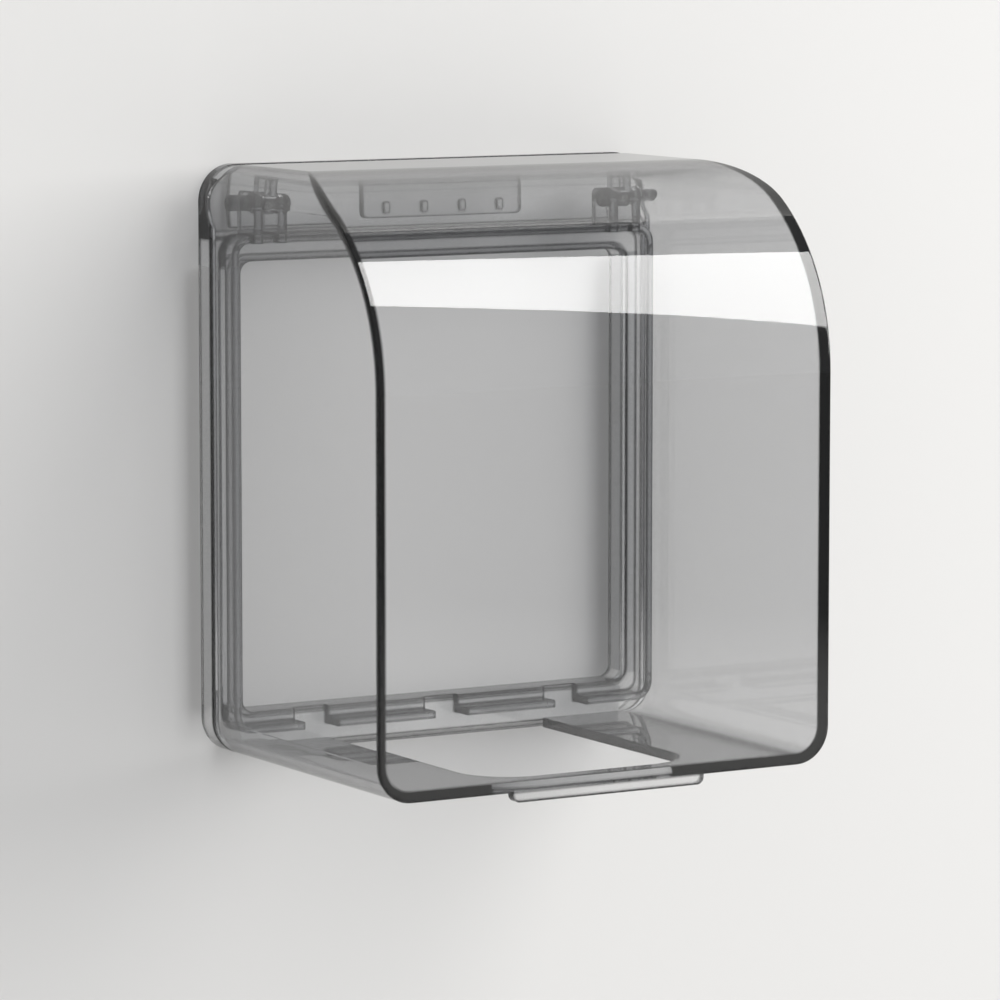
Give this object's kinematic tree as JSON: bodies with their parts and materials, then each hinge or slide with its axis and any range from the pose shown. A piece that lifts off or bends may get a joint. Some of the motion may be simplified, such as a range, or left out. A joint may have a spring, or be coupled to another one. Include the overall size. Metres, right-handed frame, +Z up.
{
  "type": "socket splash box",
  "caption": "Clear hinged splash box for a wall socket: a stick-on base frame with a raised collar, and a deep lid with an arched front and an outlet for leads below.",
  "frame": {"origin": "centre of the opening in the base frame, in the mounting plane", "axes": "+X right, +Z up, +Y into what the box is fixed to; the lid's front faces -Y"},
  "size_m": [0.104, 0.0745, 0.1219],
  "materials": {
    "smoke_clear": "clear smoke-grey moulded plastic, polished",
    "pin_clear": "clear moulded plastic",
    "tape_foam": "white double-sided adhesive foam"
  },
  "bodies": {
    "base": {"base_frame": "smoke_clear", "hinge_pin_left": "pin_clear", "hinge_pin_right": "pin_clear", "tape_left": "tape_foam", "tape_right": "tape_foam", "tape_top": "tape_foam", "tape_bottom": "tape_foam"},
    "lid": {"lid": "smoke_clear"}
  },
  "joints": [
    {"name": "lid_hinge", "type": "hinge", "parent": "base", "child": "lid", "pos_m": [0, -0.0106, 0.0579], "axis": [-1, 0, 0], "range_deg": [0, 90]}
  ]
}
